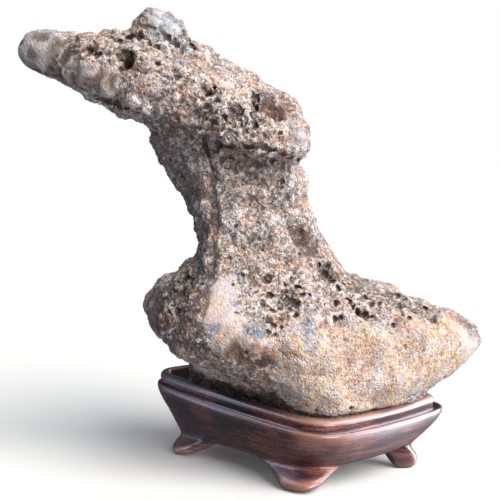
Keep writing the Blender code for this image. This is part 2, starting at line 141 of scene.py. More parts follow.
# Narrow clefts, as pixels along each, with half a width and a depth.
CLEFTS = (
    (((201, 122), (203, 138), (207, 149), (211, 163), (213, 172)), 0.8, 3.2),
    (((213, 172), (214, 190), (212, 206), (212, 220), (209, 235)), 0.6, 1.5),
    (((76, 42), (70, 47), (66, 54), (63, 62)), 1.6, 1.3),
    (((214, 142), (236, 147), (258, 148), (280, 152), (298, 157)), 1.0, 2.8),
    (((104, 98), (112, 103), (121, 106)), 1.1, 2.0),
    (((130, 111), (139, 115), (150, 121)), 1.0, 1.8),
    (((160, 119), (172, 116), (184, 118)), 1.0, 1.8),
    (((108, 30), (113, 38), (125, 41), (130, 36), (142, 34), (150, 44), (158, 48)), 0.8, 2.6),
    (((184, 30), (188, 40), (194, 48)), 1.0, 2.2),
    (((160, 28), (166, 36), (172, 44)), 0.8, 1.6),
    (((63, 62), (72, 57), (84, 61), (96, 62), (110, 71), (124, 80)), 0.5, 1.0),
    (((254, 94), (253, 106), (252, 118), (254, 127)), 0.9, 2.6),
    (((138, 71), (147, 73), (156, 72), (170, 79), (182, 88)), 0.6, 1.3),
    (((190, 60), (204, 72), (218, 84), (232, 92)), 0.7, 0.8),
    (((317, 229), (317, 241), (315, 252)), 1.0, 1.6),
    (((347, 298), (352, 307), (362, 315), (374, 318)), 0.9, 2.4),
    (((341, 350), (345, 357), (350, 363)), 0.6, 1.2),
    (((262, 300), (272, 311), (284, 312), (298, 318)), 0.6, 1.4),
)
# Slabs and ledges that stand out, given as the clefts are, with a height.
RIDGES = (
    (((70, 71), (86, 76), (102, 82), (115, 89)), 7.0, 1.5),
    (((76, 39), (87, 39), (98, 38)), 5.0, 2.4),
    (((151, 284), (147, 292), (146, 302)), 5.0, 1.4),
    (((128, 100), (142, 106), (156, 114)), 3.6, 1.2),
    (((212, 138), (236, 141), (258, 142), (280, 146), (300, 150)), 2.2, 0.9),
    (((290, 96), (300, 118), (306, 140)), 4.0, 0.8),
    (((244, 86), (262, 87), (280, 91)), 3.0, 0.8),
    (((216, 72), (232, 78), (246, 86)), 4.0, 0.7),
)
# Kinds of surface seen from the front: pixel across, pixel down, radius.
FRONT_PLACES = {
    "polished": (
        (28, 48, 15), (44, 50, 13), (58, 52, 7), (68, 68, 6), (76, 72, 7), (84, 77, 8), (92, 80, 8),
        (100, 84, 8), (108, 87, 7), (116, 90, 5), (306, 118, 6), (303, 136, 7), (270, 104, 5),
        (277, 112, 5), (226, 84, 4), (160, 18, 9), (152, 12, 8), (172, 26, 6), (152, 300, 9),
        (158, 322, 9), (222, 292, 10), (218, 314, 10), (232, 328, 12), (250, 345, 8), (262, 361, 7),
        (385, 285, 9), (410, 296, 8), (455, 322, 9), (470, 340, 9),
    ),
    "pale": (
        (226, 290, 10), (220, 306, 8), (236, 312, 12), (254, 330, 9), (270, 305, 9), (236, 330, 8),
        (290, 300, 9), (308, 318, 9), (250, 285, 7), (270, 75, 9), (245, 70, 10), (215, 55, 8),
        (140, 106, 8), (152, 110, 7), (226, 132, 8), (255, 138, 8), (90, 34, 9), (235, 108, 11),
        (240, 126, 10), (262, 132, 8), (206, 108, 7), (230, 220, 10), (245, 265, 10), (120, 46, 7),
        (140, 50, 7), (165, 58, 8), (185, 75, 8), (160, 88, 7), (245, 95, 7), (62, 31, 5), (44, 29, 4),
        (84, 60, 3), (98, 64, 3.5), (112, 71, 3.5), (123, 78, 3.5), (148, 62, 4), (304, 108, 6),
        (120, 30, 3), (215, 286, 6), (380, 330, 9), (355, 325, 8), (228, 84, 6), (263, 119, 2),
        (222, 149, 2),
    ),
    "sandy": (
        (300, 350, 16), (330, 370, 18), (360, 350, 20), (395, 365, 20), (420, 340, 16), (380, 390, 16),
        (345, 395, 16), (310, 398, 14), (450, 340, 16), (300, 390, 12), (430, 375, 12), (460, 360, 12),
    ),
    "ashen": (
        (160, 150, 11), (172, 165, 12), (182, 185, 12), (190, 205, 11), (196, 225, 10), (200, 245, 10),
        (203, 262, 9), (190, 275, 11), (205, 280, 6), (225, 180, 9), (285, 190, 10), (250, 172, 9),
        (272, 176, 9), (232, 200, 8), (290, 215, 8), (375, 290, 11), (395, 300, 10), (360, 282, 9),
        (418, 306, 9), (350, 290, 8), (40, 54, 14), (27, 48, 11), (52, 58, 10), (54, 46, 7),
        (262, 240, 7), (33, 40, 7), (45, 42, 6), (180, 130, 10), (200, 150, 7), (196, 136, 6),
        (290, 300, 8), (138, 24, 6), (146, 18, 5), (118, 34, 4), (134, 33, 3), (262, 277, 5),
        (250, 270, 5),
    ),
    "rusty": (
        (130, 60, 6), (184, 106, 7), (168, 102, 6), (100, 93, 5), (262, 362, 9), (210, 360, 10),
        (190, 350, 10), (225, 375, 11), (255, 385, 10), (240, 355, 8), (165, 322, 8), (153, 312, 6),
        (275, 110, 8), (268, 116, 6), (260, 157, 9), (282, 160, 9), (235, 158, 8), (300, 232, 10),
        (308, 246, 8), (325, 272, 7), (292, 350, 6), (180, 362, 9), (127, 47, 3.5), (90, 52, 4),
        (133, 60, 4), (206, 304, 5), (282, 114, 4), (292, 108, 3),
    ),
    # Dark crust, with painted shade in the band under the head's ledge and along the lip where the stone
    # sits.
    "crusty": (
        (108, 102, 5), (118, 108, 6), (132, 117, 6), (145, 124, 7), (158, 124, 6), (170, 122, 6),
        (215, 147, 4), (235, 151, 5), (258, 152, 5), (280, 156, 5), (298, 161, 4), (325, 275, 6),
        (185, 375, 7), (210, 388, 7), (235, 395, 6), (205, 345, 5), (128, 62, 5), (122, 70, 4),
        (258, 100, 5), (256, 110, 4), (253, 124, 3), (226, 119, 2.5), (207, 96, 3.5), (204, 118, 3.5),
        (212, 123, 2.5), (184, 106, 2.5), (63, 66, 4), (116, 38, 2), (128, 38, 2.5), (140, 37, 3),
        (190, 40, 2.5), (97, 53, 3), (157, 66, 2), (282, 134, 2), (68, 50, 3), (104, 100, 4),
        (258, 402, 5), (275, 409, 4), (292, 415, 3),
    ),
    "slate": (
        (158, 12, 10), (170, 20, 9), (150, 24, 8), (160, 34, 7), (178, 34, 7), (165, 46, 6),
        (186, 48, 6), (140, 20, 7), (30, 36, 8), (76, 66, 5), (285, 168, 6), (150, 118, 5),
        (400, 284, 7), (440, 306, 8), (250, 330, 5), (258, 338, 4), (306, 330, 4), (314, 338, 5),
        (203, 312, 4), (210, 332, 4),
    ),
    "umber": (
        (78, 86, 4), (88, 91, 4), (108, 94, 4), (70, 46, 5), (67, 56, 4), (107, 56, 4), (40, 64, 7),
        (56, 70, 7), (26, 60, 7), (34, 56, 4), (68, 42, 5), (66, 50, 5), (74, 50, 4), (152, 300, 10),
        (160, 322, 11), (176, 312, 10), (172, 336, 10), (192, 334, 9), (200, 352, 7), (262, 362, 6),
        (272, 108, 8), (266, 114, 6), (262, 100, 6), (278, 116, 5), (204, 116, 4), (150, 280, 8),
        (200, 300, 8), (182, 290, 9), (255, 155, 5), (284, 158, 5), (300, 240, 7), (316, 252, 6),
    ),
    # Darker places: partly duller stone, partly painted shade on the base's left lump, the collar and the
    # hollows.
    "dull_and_shade": (
        (38, 58, 16), (26, 50, 14), (54, 62, 12), (52, 50, 10), (30, 62, 10), (70, 48, 6), (66, 56, 6),
        (74, 72, 6), (84, 80, 7), (96, 82, 7), (108, 86, 6), (268, 106, 6), (152, 300, 11),
        (158, 322, 10), (168, 294, 8), (180, 285, 7), (150, 286, 8), (300, 134, 8), (306, 118, 6),
        (474, 336, 13), (458, 322, 10), (280, 120, 4), (320, 225, 9), (308, 246, 8), (270, 108, 6),
        (128, 60, 4), (240, 350, 7), (262, 362, 6), (410, 340, 14), (360, 350, 12),
    ),
    "cavernous": (
        (208, 100, 9), (225, 108, 10), (240, 118, 9), (256, 112, 9), (225, 128, 8), (262, 128, 9),
        (278, 128, 7), (120, 40, 7), (138, 40, 7), (182, 38, 7), (196, 48, 6), (280, 290, 12),
        (300, 300, 11), (320, 285, 11), (345, 300, 12), (370, 305, 10), (275, 320, 9), (300, 318, 8),
        (395, 305, 9), (110, 104, 8), (135, 116, 8), (326, 272, 8), (175, 300, 10), (190, 270, 8),
    ),
}
# The same kinds on the sides that the photograph doesn't show: across, back and up from the view's
# origin, radius.
HIDDEN_PLACES = {
    "polished": ((-96, 14, 216, 15), (-46, 30, 84, 16), (96, 16, 76, 17), (20, 62, 60, 14)),
    "pale": ((-6, 24, 196, 14), (30, 26, 140, 10), (60, 36, 84, 14), (0, 30, 110, 11)),
    "sandy": ((70, 40, 60, 22), (40, 56, 70, 20), (90, 20, 60, 18), (20, 62, 56, 16), (6, 50, 76, 14)),
    "ashen": (
        (-30, 22, 150, 16), (-8, 22, 130, 14), (-44, 20, 178, 14), (-40, 30, 60, 16), (0, 40, 92, 14),
    ),
    "rusty": (
        (-60, 24, 190, 14), (14, 18, 170, 11), (-20, 44, 56, 14), (44, 56, 56, 12), (-12, 26, 164, 9),
    ),
    "crusty": (
        (-70, 6, 190, 12), (-48, 12, 180, 12), (-28, 38, 44, 12), (16, 60, 44, 12), (50, 46, 50, 10),
    ),
    "slate": ((-48, 14, 224, 12), (-14, 20, 210, 10), (30, 40, 92, 10), (90, 20, 84, 10)),
    "umber": (
        (-80, 12, 204, 12), (-36, 30, 74, 12), (-24, 40, 60, 10), (10, 24, 150, 10), (30, 62, 56, 12),
    ),
    "dull_and_shade": ((-80, 12, 208, 14), (-30, 40, 70, 14), (0, 24, 130, 12)),
    "cavernous": (
        (-20, 26, 196, 16), (6, 24, 184, 13), (-50, 20, 204, 13), (30, 44, 84, 16), (10, 24, 140, 12),
    ),
}
KINDS = tuple(FRONT_PLACES)

# Points nearer than this are one point, and a smaller weight than this is none.
WELD = 0.001 * MM
LEAST_WEIGHT = 0.002
SMOOTHING = 0.5
SKIN_PASSES = 5
CALM_PASSES = 60
POLISHED_CALM = 0.7
SEAT_DEPTH, SEAT_FADE = 12 * MM, 8 * MM
# Edges of what lies on the skin wander: how far, and over what distance.
KIND_WANDERS = ((6 * MM, 14 * MM), (2 * MM, 4 * MM))
ROUTE_WANDER = (1.3 * MM, 4 * MM)
# A place, pit or block is whole for a part of its radius and fades over another.
KIND_CORE, KIND_FADE = 0.55, 0.6
PIT_CORE, PIT_FADE = 0.45, 0.5
# Pits and blocks: how many radii they reach at most, how uneven they are, and over what distance.
PIT_REACH, PIT_UNEVENNESS, PIT_PITCH = 1.6, 0.6, 1.8 * MM
BLOCK_REACH, BLOCK_UNEVENNESS, BLOCK_PITCH = 1.5, 0.35, 3.0 * MM
# The moat round a block: its share of the block's height, and its place and width in radii.
MOAT_DEPTH, MOAT_PLACE, MOAT_WIDTH = 0.5, 1.05, 0.16
# Clefts and ridges: the half widths over which they fade, and how their depth varies along them.
ROUTE_FADE = 1.6
DEPTH_PITCH, DEPTH_MIDDLE, DEPTH_SPREAD, DEPTH_LIMITS = 5 * MM, 0.9, 1.3, (0.4, 1.2)
# How much of their depth the pits seen from the front get, and the depth at which the painted shade in a hole
# is full.
PIT_SHARE = 0.8
DARK_DEPTH = 1.6 * MM
# Small pits: how many, how far below the lip's top, how likely on each kind of surface, and their sizes.
SMALL_PITS = 300
PITS_BELOW_LIP = 6 * MM
PIT_CHANCE, PIT_CHANCES = 0.06, {"cavernous": 1.0, "crusty": 0.3, "ashen": 0.15}
PIT_CHANCE_CHANGES = {"polished": -0.93, "sandy": -0.75}
PIT_RADII, PIT_RADIUS_EXTRA, PIT_DEPTHS = (0.8, 1.2), 0.7, (0.8, 1.5)
# Sizes of the bluish blocks and of the crust's lumps, crumbs and grains.
BLOCK_SIZE, LUMP_SIZE, CRUMB_SIZE, GRAIN_SIZE = 11 * MM, 8.0 * MM, 2.8 * MM, 2.0 * MM
# A crumb is a cell of noise: how its walls wander, how round it is, and the width of the gap round it.
CELL_WANDER, CELL_WANDER_RATE, CELL_ROUNDNESS, CELL_GAP = 0.25, 1.7, 1.25, 0.3
LEVEL_RATE, SLOPE_RATE = 3.7, 5.3
LEVEL_SHARE, SLOPE_SHARE, CRUMB_GAP, BLOCK_GAP = 0.6, 0.9, 0.5, 0.1
# How much less rough some kinds of surface are, the least share of the crumbs' height and how much more of
# it ashen places have, how far round knobs stand out where it is cavernous, and how crumbs differ in tint.
ROUGHNESS_CHANGES = {"polished": -0.9, "sandy": -0.75}
CRUMB_LEAST, CRUMB_CHANGES = 0.5, {"ashen": 0.3}
KNOB_SHARE, KNOB_LEVEL = 1.3, 0.6
CRUMB_TINT = 0.7

# Hollows at two scales: the name, the smoothing passes, and the depth that counts as full.
STONE_HOLLOWS = (("hollow", 12, 0.5 * MM), ("cave", 90, 1.6 * MM))
STAND_HOLLOWS = (("hollow", 20, 0.5 * MM), ("edge", 120, 1.6 * MM))

# Sizes of the stone's patches of colour, its streaks, sand grains, specks and pinholes.
BROAD_PATCH, PATCH, FINE_PATCH = 15 * MM, 4.5 * MM, 1.4 * MM
STREAK_WIDTH, STREAK_STRETCH, STREAK_TILT = 0.9 * MM, (1, 1, 5), (0, math.radians(-32), 0)
SAND_GRAIN, SPECK, PINHOLE = 1.0 * MM, 1.5 * MM, 1.7 * MM
# The main colours' range in broad patches, and how far finer patches fray it and the edges of the kinds.
MAIN_COLOURS = (0.40, 0.62)
MAIN_FRAY, PATCH_FRAY, FINE_FRAY = 0.3, 0.9, 0.5
# The kinds of surface that have a colour: where each begins and is full, and its share there.
KIND_COLOURS = (
    ("sandy", 0.2, 0.7, 1.0), ("pale", 0.2, 0.75, 1.0), ("slate", 0.15, 0.6, 0.9),
    ("ashen", 0.15, 0.65, 0.95), ("umber", 0.15, 0.6, 0.9), ("rusty", 0.2, 0.75, 0.8),
    # The dark crust's colour is partly painted shade.
    ("crusty", 0.2, 0.75, 0.85),
)
# Soft patches of two tints, both near middle grey: their share, their range, their sizes and the tints.
TINT_SHARE = 0.9
TINT_RANGE = (0.36, 0.64)
TINTS = (
    (22 * MM, (0.53, 0.505, 0.48), (0.495, 0.485, 0.515)),
    (8 * MM, (0.62, 0.50, 0.42), (0.43, 0.49, 0.55)),
    (2.4 * MM, (0.61, 0.54, 0.44), (0.45, 0.43, 0.50)),
)
# Flecks: what picks them, where its number begins and is full, their share and their colour. Polished
# places have fewer of them, and sandy ones fewer crumbs and dark grains.
POLISHED_LOSS, SANDY_LOSS = 0.75, 0.4
FLECKS = (
    ("crumb", 0.56, 0.70, 0.6, (0.76, 0.70, 0.70)),
    ("crumb", 0.44, 0.30, 0.5, (0.21, 0.14, 0.11)),
    ("pale grain", 0.80, 0.84, 0.32, (0.78, 0.72, 0.70)),
    ("speck", 0.84, 0.88, 0.4, (0.48, 0.25, 0.14)),
    ("speck", 0.10, 0.07, 0.35, (0.46, 0.50, 0.56)),
    ("dark grain", 0.30, 0.22, 0.5, (0.12, 0.085, 0.07)),
)
# The stone's brightness: a base, what patches and streaks add, and what sandy places and the duller, partly
# shaded places change; that darkening is partly painted shade.
TONE, PATCH_TONE, FINE_TONE, STREAK_TONE = -0.10, 0.6, 0.8, 0.75
SANDY_TONE, SANDY_FINE, SANDY_STREAK = 0.14, 0.3, 0.55
DULL_SHADE_TONE, SANDY_DULL_SHADE = 0.56, 0.42
# Painted shade in hollows, pinholes, gaps and holes, and ridges lighter partly from wear and partly as
# painted highlight: where each begins and is full, and its share.
HOLLOW_SHADE, CAVE_SHADE, GAP_RANGE = (0.60, 1.0, 0.65), (0.70, 1.0, 0.55), (0.30, 0.95)
GAP_SHADE, ASHEN_GAP_SHADE, CAVERNOUS_GAP_SHADE = 0.62, 0.25, 0.15
PINHOLE_SHAPE, PINHOLE_LUCK, PINHOLE_SHADE = (0.36, 0.2), (0.40, 0.50), 0.7
WORN_LIT_RIDGES, HOLE_SHADE_RANGE = (0.40, 0.10, 0.35), (0.35, 1.0, 0.5)
# Painted shade for hollows, caves, pinholes and the gaps between crumbs.
CREVICE_SHADE = (0.088, 0.052, 0.036)
# Lighter ridges: partly wear, partly painted highlight.
WORN_LIT_STONE = (0.82, 0.76, 0.75)
# Painted shade in pits and clefts, fuller the deeper they are.
HOLE_SHADE = (0.085, 0.048, 0.030)
STONE_ROUGHNESS, POLISH = 0.92, 0.3
# The fine relief in the stone's shading, and the share of grains, patches, streaks and pinholes in it.
STONE_RELIEF = 0.9 * MM
GRAIN_RELIEF, FINE_RELIEF, STREAK_RELIEF, PINHOLE_RELIEF = -0.7, 0.9, 0.6, 0.9

# The stand: up to which angles triangles join into quads, the size of the carving's waves, and how high
# over the floor they are whole.
FLAT_ENOUGH = math.radians(60)
CARVING_SIZE = 16 * MM
FEET_FADE = 4 * MM
# Above this height there is only the stand's raised lip. From there up, and more to the right, it is lighter:
# partly from rubbing, partly painted highlight.
LIP_HEIGHT = 35 * MM
LIP_FADE, RUBBED_LIT_FADE = 2 * MM, 35 * MM
# How upright the normal of a level face is at least, and how far from the height of the stone's underside
# a level face still belongs to the seat.
LEVEL, LEVEL_FADE = 0.5, 0.4
SEAT_BAND = 1 * MM
# Sizes of the wood's growth lines, bands, pores and clouds, and how far they stretch along the grain.
LINE, BAND, PORE, CLOUD = 0.7 * MM, 3.5 * MM, 0.7 * MM, 30 * MM
GROWTH_STRETCH, PORE_STRETCH = (20, 10, 1), (4, 2, 1)
# The figure: the share of bands, lines and clouds in it, and its range from heartwood to streak.
BAND_FIGURE, LINE_FIGURE, CLOUD_FIGURE, FIGURE_RANGE = 0.5, 0.6, 0.5, (0.46, 0.76)
# Pores, edges lighter from wear and painted highlight, wax and painted shade in grooves, and painted shade
# under the stand and in the seat: where each begins and is full, and its share. Growth lines show through the
# lighter edges and lip.
PORES, EDGE_RANGE, WAX_AND_SHADE_RANGE, UNDERSIDE_SHADE_SHARE = (0.46, 0.36, 0.85), (0.40, 0.04), (0.60, 0.95, 0.65), 0.85
WORN_LIT_SHARE, WORN_LIT_LINES, RUBBED_LIT_SHARE, RUBBED_LIT_LINES = 0.4, 0.7, 0.3, 0.6
OPEN_PORE = (0.012, 0.006, 0.008)
# The lighter lip: partly rubbing, partly painted highlight.
RUBBED_AND_LIT_WOOD = (0.60, 0.33, 0.25)
# Wax with painted shade in grooves and creases.
WAX_AND_GROOVE_SHADE = (0.010, 0.006, 0.008)
# Painted shade under the stand and in the seat.
UNDERSIDE_SHADE = (0.006, 0.004, 0.005)
WOOD_ROUGHNESS, LINE_ROUGHNESS, GROOVE_ROUGHNESS = 0.38, 0.14, (0.58, 0.9, 0.25)
WOOD_RELIEF, LINE_RELIEF, PORE_RELIEF, RELIEF_STRENGTH = 0.3 * MM, 0.7, 0.4, 0.6
COAT, COAT_ROUGHNESS = 0.6, 0.25

WHITE = (1, 1, 1)
PAPER = (0.9, 0.9, 0.9)
KEY_COLOUR = (1.0, 0.98, 0.935)
SKY_COLOUR = (0.88, 0.93, 1.0)
# Boxes of light that show only as gloss: side, brightness, direction and colour.
SOFTBOXES = {
    "low_right": (1.1, 1.0, (1.0, -0.12, -0.30), (0.90, 0.86, 1.0)),
    "side": (0.5, 3.0, (0.97, 0.0, -0.20), (0.92, 0.88, 1.0)),
    "high_right": (0.8, 2.2, (0.90, 0.05, 0.42), (0.88, 0.88, 1.0)),
    "front": (0.5, 4.0, (0.29, -0.93, -0.22), (1.0, 0.84, 0.76)),
    "ceiling": (0.9, 0.5, (0.35, -0.50, 0.90), (1.0, 0.90, 0.86)),
    "left": (0.3, 1.2, (-0.97, 0.12, -0.16), (0.62, 0.74, 1.0)),
    "high_left": (0.6, 1.2, (-0.84, -0.13, 0.50), (0.62, 0.74, 1.0)),
}
# Soft fields of light in the sky, by the setting that gives their strength: direction, start and fullness.
SKY_FIELDS = {
    "ceiling": ((0.0, 0.0, 1.0), -0.1, 0.9),
    "window": ((1.0, 0.0, 0.0), 0.0, 1.0),
    "bounce": ((0.45, -0.45, -0.77), 0.1, 0.95),
    "front": ((-0.1, -0.97, 0.2), 0.3, 1.0),
}


class StoneSettings(bpy.types.PropertyGroup):
    """Sizes and colours of the stone's skin."""

    step: FloatProperty(
        name="Mesh step", description="Spacing of the skin's points while it is shaped",
        default=0.8 * MM, unit="LENGTH", precision=5,
    )
    triangles: IntProperty(name="Triangles", description="Triangles in the finished skin", default=192000)
    lump: FloatProperty(
        name="Lump height", description="How far the largest crumbs of the crust stand out",
        default=0.9 * MM, unit="LENGTH", precision=5,
    )
    crumb: FloatProperty(
        name="Crumb height", description="How far the common crumbs of the crust stand out",
        default=0.8 * MM, unit="LENGTH", precision=5,
    )
    grain: FloatProperty(
        name="Grain height", description="How far the coarse grains stand out",
        default=0.62 * MM, unit="LENGTH", precision=5,
    )
    facet: FloatProperty(
        name="Facet height", description="How far the flat faces of the bluish blocks stand out",
        default=2.0 * MM, unit="LENGTH", precision=5,
    )
    warm: FloatVectorProperty(
        name="Warm stone", description="The stone's main colour", default=(0.48, 0.37, 0.30),
        subtype="COLOR",
    )
    pale: FloatVectorProperty(
        name="Pale stone", description="Worn, whitish pink places", default=(0.62, 0.56, 0.53),
        subtype="COLOR",
    )
    sandy: FloatVectorProperty(
        name="Sandy stone", description="Fine yellowish sandstone", default=(0.60, 0.47, 0.36),
        subtype="COLOR",
    )
    ashen: FloatVectorProperty(
        name="Ashen stone", description="Cool grey, granular places", default=(0.232, 0.226, 0.21),
        subtype="COLOR",
    )
    rusty: FloatVectorProperty(
        name="Rust", description="Iron-stained brown places", default=(0.24, 0.12, 0.07), subtype="COLOR",
    )
    # Dark crust, partly painted shade under ledges and where the stone sits in the stand.
    crusty: FloatVectorProperty(
        name="Dark crust", description="Dark crust under ledges and in cavities",
        default=(0.075, 0.05, 0.042), subtype="COLOR",
    )
    slate: FloatVectorProperty(
        name="Bluish stone", description="Smooth bluish grey places", default=(0.285, 0.34, 0.395),
        subtype="COLOR",
    )
    umber: FloatVectorProperty(
        name="Umber", description="Purplish brown skin", default=(0.16, 0.11, 0.10), subtype="COLOR",
    )


class StandSettings(bpy.types.PropertyGroup):
    """Sizes and colours of the carved stand."""

    rounding: IntProperty(name="Rounding", description="Subdivision steps over the carved shape", default=2)
    carving: FloatProperty(
        name="Carving waves", description="Height of the hand-carved unevenness",
        default=0.35 * MM, unit="LENGTH", precision=5,
    )
    heart: FloatVectorProperty(
        name="Heartwood", description="Dark purple-brown wood", default=(0.028, 0.010, 0.020),
        subtype="COLOR",
    )
    streak: FloatVectorProperty(
        name="Streaks", description="Reddish-brown growth lines", default=(0.33, 0.10, 0.065),
        subtype="COLOR",
    )
    # Lighter edges: partly wear, partly painted highlight.
    worn_and_lit: FloatVectorProperty(
        name="Worn edges", description="Lighter wood where hands have worn the edges",
        default=(0.46, 0.20, 0.15), subtype="COLOR",
    )


class StageSettings(bpy.types.PropertyGroup):
    """The studio's floor, light and view."""

    floor: FloatProperty(name="Floor", description="Side of the floor", default=60.0, unit="LENGTH")
    glow: FloatProperty(name="Floor glow", description="How pale the floor stays in shadow", default=0.02)
    key: FloatProperty(name="Key light", description="Strength of the main light", default=4.7)
    key_softness: FloatProperty(
        name="Key softness", description="Width of the main light in the sky",
        default=math.radians(48), subtype="ANGLE",
    )
    key_bearing: FloatProperty(
        name="Key bearing", description="How far to the right of the view the main light stands",
        default=math.radians(44), subtype="ANGLE",
    )
    key_height: FloatProperty(
        name="Key height", description="The main light's height over the horizon",
        default=math.radians(35), subtype="ANGLE",
    )
    shade: FloatProperty(name="Shade", description="Strength of the light from all round", default=0.12)
    ceiling: FloatProperty(name="Ceiling", description="Strength that light from above adds", default=0.20)
    window: FloatProperty(name="Window", description="Strength that light from the right adds", default=0.35)
    bounce: FloatProperty(
        name="Bounce", description="Strength that light back from the floor at the right adds", default=0.60,
    )
    front: FloatProperty(name="Front", description="Strength that light from the front adds", default=0.05)
    softbox: FloatProperty(
        name="Softbox", description="Brightness of the boxes that glossy wood mirrors", default=6.0,
    )


class Reading:
    """A value in a recipe, with Python's operators for its Math nodes."""

    def __init__(self, recipe, socket):
        self.recipe = recipe
        self.socket = socket

    def maths(self, operation, *values):
        return self.recipe.node("ShaderNodeMath", {"operation": operation}, dict(enumerate(values)))

    def __add__(self, other):
        return self.maths("ADD", self, other)

    def __radd__(self, other):
        return self.maths("ADD", other, self)

    def __sub__(self, other):
        return self.maths("SUBTRACT", self, other)

    def __rsub__(self, other):
        return self.maths("SUBTRACT", other, self)

    def __mul__(self, other):
        return self.maths("MULTIPLY", self, other)

    def __rmul__(self, other):
        return self.maths("MULTIPLY", other, self)

    def most(self, other):
        """The larger of the two."""
        return self.maths("MAXIMUM", self, other)

    def step(self, low, high, full=1.0):
        """0 below low and full above high, smooth between them; the other way round where high is lower."""
        settings = {"interpolation_type": "SMOOTHSTEP"}
        sockets = {"Value": self, 1: low, 2: high, 3: 0.0, 4: full}
        if low > high:
            sockets = {"Value": self, 1: high, 2: low, 3: full, 4: 0.0}
        return self.recipe.node("ShaderNodeMapRange", settings, sockets)


class Recipe:
    """A tree of nodes, written as expressions."""

    def __init__(self, tree):
        self.tree = tree

    def node(self, kind, settings=None, sockets=None, output=0):
        """Adds a node: its settings come first, then the values or readings of its sockets."""
        made = self.tree.nodes.new(kind)
        for name, value in (settings or {}).items():
            setattr(made, name, value)
        for name, value in (sockets or {}).items():
            self.feed(made.inputs[name], value)
        return Reading(self, made.outputs[output])

    def feed(self, socket, value):
        """Links a reading to the socket, or sets a value on it."""
        if isinstance(value, Reading):
            self.tree.links.new(value.socket, socket)
        elif hasattr(value, "__len__") and socket.type == "RGBA":
            socket.default_value = (*value[:3], 1)
        else:
            socket.default_value = value


class Finish(Recipe):
    """A material's recipe."""

    def __init__(self, name):
        self.material = bpy.data.materials.new(name)
        self.material.use_nodes = True
        super().__init__(self.material.node_tree)
        self.shader = self.tree.nodes["Principled BSDF"]
        self.place = self.node("ShaderNodeTexCoord", output="Object")

    def surface(self, sockets):
        """Readings and values for sockets of the shader."""
        for name, value in sockets.items():
            self.feed(self.shader.inputs[name], value)

    def attribute(self, name):
        return self.node("ShaderNodeAttribute", {"attribute_name": name}, output="Fac")

    def stretched(self, times, turn=(0, 0, 0)):
        """The place on the piece, for features that are that many times longer along axes with that turn."""
        sockets = {"Vector": self.place, "Scale": times, "Rotation": turn}
        return self.node("ShaderNodeMapping", {"vector_type": "TEXTURE"}, sockets)

    def clouds(self, across, detail=3.0, rough=0.55, place=None):
        """Soft noise with lumps of about that size in metres."""
        sockets = {"Vector": place or self.place, "Scale": 1 / across, "Detail": detail, "Roughness": rough}
        return self.node("ShaderNodeTexNoise", {}, sockets, "Fac")

    def cells(self, across, output="Distance"):
        """Cells of about that size in metres: how far each place is from its cell's middle, or its colour."""
        sockets = {"Vector": self.place, "Scale": 1 / across}
        return self.node("ShaderNodeTexVoronoi", {"feature": "F1"}, sockets, output)

    def luck(self, across):
        """A number from 0 to 1 for each cell of about that size."""
        return self.node("ShaderNodeSeparateColor", {}, {0: self.cells(across, "Color")}, 0)

    def mix(self, share, first, second, blend="MIX"):
        settings = {"data_type": "RGBA", "blend_type": blend}
        return self.node("ShaderNodeMix", settings, {0: share, 6: first, 7: second}, 2)

    def tinted(self, colour, across, first, second):
        """The colour under soft patches of two tints, both near middle grey."""
        tint = self.mix(self.clouds(across).step(*TINT_RANGE), first, second)
        return self.mix(TINT_SHARE, colour, tint, "OVERLAY")

    def brighter(self, colour, amount):
        """The colour times a number that varies over the surface."""
        return self.node("ShaderNodeVectorMath", {"operation": "SCALE"}, {0: colour, "Scale": amount})

    def relief(self, height, depth, strength=1.0):
        """The shading of a fine relief: its height from 0 to 1, and what 1 is in metres."""
        sockets = {"Height": height, "Distance": depth, "Strength": strength}
        return self.node("ShaderNodeBump", {}, sockets, "Normal")


def select_only(piece):
    bpy.ops.object.select_all(action="DESELECT")
    piece.select_set(True)
    bpy.context.view_layer.objects.active = piece


def applied(piece, kind, **settings):
    """Adds a modifier to the piece, sets it and applies it."""
    modifier = piece.modifiers.new(kind.lower(), kind)
    for name, value in settings.items():
        setattr(modifier, name, value)
    select_only(piece)
    bpy.ops.object.modifier_apply(modifier=modifier.name)


def copy_of(node, name):
    """A CAD node's solid as a new piece: one welded mesh without split normals."""
    piece = bpy.data.objects.new(name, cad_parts[node].data.copy())
    bpy.context.scene.collection.objects.link(piece)
    piece.data.name = name
    piece.data.materials.clear()
    select_only(piece)
    bpy.ops.object.mode_set(mode="EDIT")
    bpy.ops.mesh.select_all(action="SELECT")
    bpy.ops.mesh.remove_doubles(threshold=WELD)
    bpy.ops.mesh.customdata_custom_splitnormals_clear()
    bpy.ops.object.mode_set(mode="OBJECT")
    return piece


def read_vectors(mesh, rows, key):
    """A row of three numbers for each point of the mesh."""
    flat = np.empty(len(mesh.vertices) * 3)
    rows.foreach_get(key, flat)
    return flat.reshape(-1, 3)


def places_of(piece):
    return read_vectors(piece.data, piece.data.vertices, "co")


def normals_of(piece):
    return read_vectors(piece.data, piece.data.vertex_normals, "vector")


def ease(value):
    """0 below 0 and 1 above 1, smooth between them."""
    value = np.clip(value, 0, 1)
    return value * value * (3 - 2 * value)


def within(distance, core, fade):
    """1 inside the core, 0 past its edge, and smooth between them."""
    return 1 - ease((distance - core) / fade)


def changed(values, shares, changes):
    """The values, each changed in proportion to how much of those kinds of surface it has."""
    for kind, change in changes.items():
        values = values * (1 + change * shares[kind])
    return values


def paint_group(piece, name, weights):
    """A vertex group with those weights."""
    group = piece.vertex_groups.new(name=name)
    for index in np.flatnonzero(weights > LEAST_WEIGHT):
        group.add([int(index)], float(weights[index]), "REPLACE")
    return group.name


def drop_groups(piece):
    for group in list(piece.vertex_groups):
        piece.vertex_groups.remove(group)


